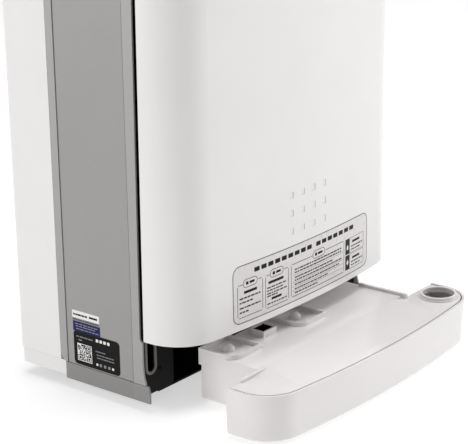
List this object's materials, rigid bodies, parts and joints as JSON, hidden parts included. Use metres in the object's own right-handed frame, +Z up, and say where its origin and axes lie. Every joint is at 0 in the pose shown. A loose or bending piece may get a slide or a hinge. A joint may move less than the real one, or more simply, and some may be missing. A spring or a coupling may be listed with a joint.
{
  "type": "dehumidifier",
  "caption": "Upright compressor dehumidifier with a bowed front cover, grey side panels and a water tank drawn out below the cover.",
  "frame": {"origin": "bottom centre of the box round the whole object with the tank drawn out, at floor level", "axes": "+Z up, -Y out of the front, +X to the right seen from the front"},
  "size_m": [0.35, 0.3274, 0.52],
  "materials": {
    "cover_white": "glossy white moulding",
    "casing_white": "satin white moulding",
    "tank_white": "satin white moulding",
    "panel_grey": "silver grey paint",
    "rim_grey": "grey moulding",
    "black_plastic": "black moulding",
    "panel_dark": "dark glossy panel",
    "window_smoke": "smoked window",
    "button_grey": "light grey keys",
    "rubber_black": "moulded rubber",
    "copper": "bare copper tube",
    "fin_aluminium": "mill finish fins",
    "steel_plate": "zinc plated sheet",
    "can_black": "black paint",
    "board_green": "circuit board",
    "filter_mesh": "fine nylon mesh in a frame",
    "inner_grey": "grey inner moulding"
  },
  "bodies": {
    "housing": {"base_pan": "black_plastic", "feet": "rubber_black", "side_skirt_right": "panel_grey", "side_skirt_left": "panel_grey", "rear_skirt": "casing_white", "side_panel_right": "panel_grey", "side_panel_left": "panel_grey", "rear_casing": "casing_white", "casing_screws": "steel_plate", "front_frame": "black_plastic", "inlet_rim_right": "rim_grey", "inlet_rim_left": "rim_grey", "tank_bay": "black_plastic", "front_cover": "cover_white", "top_cover": "casing_white", "outlet_guard": "black_plastic", "control_panel": "panel_dark", "display_window": "window_smoke", "control_board": "board_green", "drain_nozzle": "inner_grey", "cord_gland": "rubber_black", "evaporator_coil": "fin_aluminium", "condenser_coil": "fin_aluminium", "coil_bracket_left": "steel_plate", "coil_bracket_right": "steel_plate", "coil_rests": "rubber_black", "drip_tray": "inner_grey", "compressor": "can_black", "compressor_grommets": "rubber_black", "accumulator": "can_black", "suction_pipe": "copper", "discharge_pipe": "copper", "fan_housing": "inner_grey", "outlet_duct": "inner_grey", "fan_motor": "steel_plate", "electrics_box": "black_plastic", "run_capacitor": "inner_grey", "level_sensors": "black_plastic"},
    "tank": {"tank_front_shell": "tank_white", "tank_tub": "tank_white", "tank_lid": "tank_white", "pour_ring": "tank_white", "inlet_sleeve": "black_plastic"},
    "float_left": {"float_left": "tank_white"},
    "float_right": {"float_right": "tank_white"},
    "fan": {"fan_wheel": "black_plastic", "fan_shaft": "steel_plate"},
    "outlet_flap": {"outlet_flap": "casing_white"},
    "carry_handle": {"carry_handle": "inner_grey"},
    "filter_unit": {"intake_grille": "casing_white", "air_filter": "filter_mesh"},
    "drain_cap": {"drain_cap": "rubber_black"},
    "button_1": {"button_1": "button_grey"},
    "button_2": {"button_2": "button_grey"},
    "button_3": {"button_3": "button_grey"},
    "button_4": {"button_4": "button_grey"},
    "button_5": {"button_5": "button_grey"}
  },
  "joints": [
    {"name": "tank_slide", "type": "slide", "parent": "housing", "child": "tank", "axis": [0, -1, 0], "range_m": [-0.0972, 0.06]},
    {"name": "float_left_rise", "type": "slide", "parent": "tank", "child": "float_left", "axis": [0, 0, 1], "range_m": [0, 0.005]},
    {"name": "float_right_rise", "type": "slide", "parent": "tank", "child": "float_right", "axis": [0, 0, 1], "range_m": [0, 0.005]},
    {"name": "fan_spin", "type": "hinge", "parent": "housing", "child": "fan", "pos_m": [0, 0.06, 0.345], "axis": [0, 1, 0], "continuous": true},
    {"name": "outlet_flap_hinge", "type": "hinge", "parent": "housing", "child": "outlet_flap", "pos_m": [0, 0.082, 0.518], "axis": [1, 0, 0], "range_deg": [-75, 0]},
    {"name": "carry_handle_hinge", "type": "hinge", "parent": "housing", "child": "carry_handle", "pos_m": [0, 0.14, 0.512], "axis": [1, 0, 0], "range_deg": [-95, 0]},
    {"name": "filter_pull", "type": "slide", "parent": "housing", "child": "filter_unit", "axis": [0, 1, 0], "range_m": [0, 0.08]},
    {"name": "drain_cap_pull", "type": "slide", "parent": "housing", "child": "drain_cap", "axis": [0, 1, 0], "range_m": [0, 0.03]},
    {"name": "button_1_press", "type": "slide", "parent": "housing", "child": "button_1", "axis": [0, 0, -1], "range_m": [0, 0.0012], "stiffness_N_per_m": 400},
    {"name": "button_2_press", "type": "slide", "parent": "housing", "child": "button_2", "axis": [0, 0, -1], "range_m": [0, 0.0012], "stiffness_N_per_m": 400},
    {"name": "button_3_press", "type": "slide", "parent": "housing", "child": "button_3", "axis": [0, 0, -1], "range_m": [0, 0.0012], "stiffness_N_per_m": 400},
    {"name": "button_4_press", "type": "slide", "parent": "housing", "child": "button_4", "axis": [0, 0, -1], "range_m": [0, 0.0012], "stiffness_N_per_m": 400},
    {"name": "button_5_press", "type": "slide", "parent": "housing", "child": "button_5", "axis": [0, 0, -1], "range_m": [0, 0.0012], "stiffness_N_per_m": 400}
  ]
}
